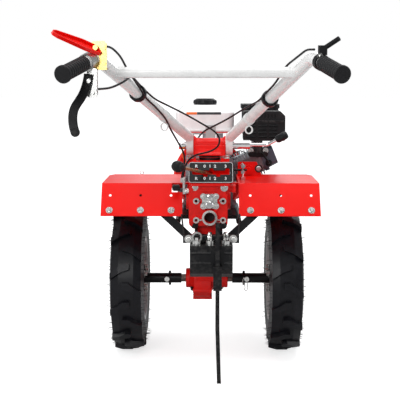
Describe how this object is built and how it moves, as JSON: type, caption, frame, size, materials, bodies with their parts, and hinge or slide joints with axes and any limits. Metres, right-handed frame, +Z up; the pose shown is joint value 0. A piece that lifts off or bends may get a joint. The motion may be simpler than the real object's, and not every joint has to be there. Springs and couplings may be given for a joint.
{
  "type": "hand tractor",
  "caption": "Walk-behind hand tractor with a red gearbox, a petrol engine in front, red fenders, lugged tyres, a depth stake and a long white handlebar.",
  "frame": {"origin": "bottom centre of the whole machine, on the ground", "axes": "+X to the machine's right, +Y forward from the handlebar to the engine, +Z up"},
  "size_m": [0.711, 1.4596, 1.0115],
  "materials": {
    "bare_steel": "satin",
    "black_plastic": "matte",
    "black_steel": "satin",
    "cable_sheath": "satin",
    "engine_metal": "satin",
    "grip_rubber": "matte",
    "red_casting": "satin",
    "red_cowl": "gloss",
    "red_sheet": "gloss",
    "rim_paint": "satin",
    "tyre_rubber": "matte",
    "white_tank": "gloss",
    "white_tube": "gloss",
    "yellow_zinc": "satin"
  },
  "bodies": {
    "chassis": {"final_drive": "red_casting", "gearbox": "red_casting", "detent_flange": "bare_steel", "shift_cover": "red_sheet", "gate_plate": "black_plastic", "gear_lever": "bare_steel", "gear_knob": "black_plastic", "clutch_housing": "engine_metal", "engine_block": "engine_metal", "rocker_cover": "engine_metal", "fan_housing": "red_cowl", "recoil_starter": "black_plastic", "fuel_tank": "white_tank", "tank_cap": "black_plastic", "tank_stand": "black_steel", "muffler": "black_steel", "exhaust_pipe": "black_steel", "air_cleaner": "black_plastic", "carburettor": "bare_steel", "engine_frame": "black_steel", "bumper": "black_steel", "fender_left": "red_sheet", "fender_right": "red_sheet", "strut_left": "black_steel", "strut_right": "black_steel", "hitch_frame": "black_steel", "hitch_block": "black_steel", "hitch_pins": "bare_steel", "stake_socket": "black_steel", "column_base": "red_sheet", "cable_loops": "cable_sheath", "release_arms": "bare_steel", "side_guard": "red_sheet"},
    "axle": {"tyre_left": "tyre_rubber", "tyre_right": "tyre_rubber", "rim_left": "rim_paint", "rim_right": "rim_paint", "hub_left": "black_steel", "hub_right": "black_steel", "axle_shaft": "bare_steel"},
    "column": {"column_head": "red_sheet", "clamp_bolt": "bare_steel", "clamp_grip": "black_plastic"},
    "handlebar": {"handlebar": "white_tube", "grip_left": "grip_rubber", "grip_right": "grip_rubber", "hand_lever_bracket": "bare_steel", "hand_lever": "black_steel", "clutch_bracket": "yellow_zinc", "clutch_lever": "red_sheet", "throttle_lever": "bare_steel", "held_cables": "cable_sheath", "cable_straps": "cable_sheath", "cable_guides": "white_tube"},
    "stake": {"stake": "black_steel"},
    "front_stand": {"front_stand": "black_steel"}
  },
  "joints": [
    {"name": "wheels_roll", "type": "hinge", "parent": "chassis", "child": "axle", "pos_m": [0.00946, 0.23785, 0.235], "axis": [1, 0, 0], "continuous": true},
    {"name": "handlebar_swivel", "type": "hinge", "parent": "chassis", "child": "column", "pos_m": [0.01846, 0.11785, 0.646], "axis": [0, 0, 1], "range_deg": [-30, 30], "deforming": ["cable_loops"]},
    {"name": "handlebar_height", "type": "hinge", "parent": "column", "child": "handlebar", "pos_m": [0.01846, 0.11785, 0.685], "axis": [0.9998, -0.0218, 0], "range_deg": [-15, 20], "deforming": ["cable_loops"]},
    {"name": "stake_height", "type": "slide", "parent": "chassis", "child": "stake", "axis": [0, 0, 1], "range_m": [0, 0.105]},
    {"name": "stand_fold", "type": "hinge", "parent": "chassis", "child": "front_stand", "pos_m": [0.01446, 0.63785, 0.424], "axis": [1, 0, 0], "range_deg": [0, 88]}
  ]
}
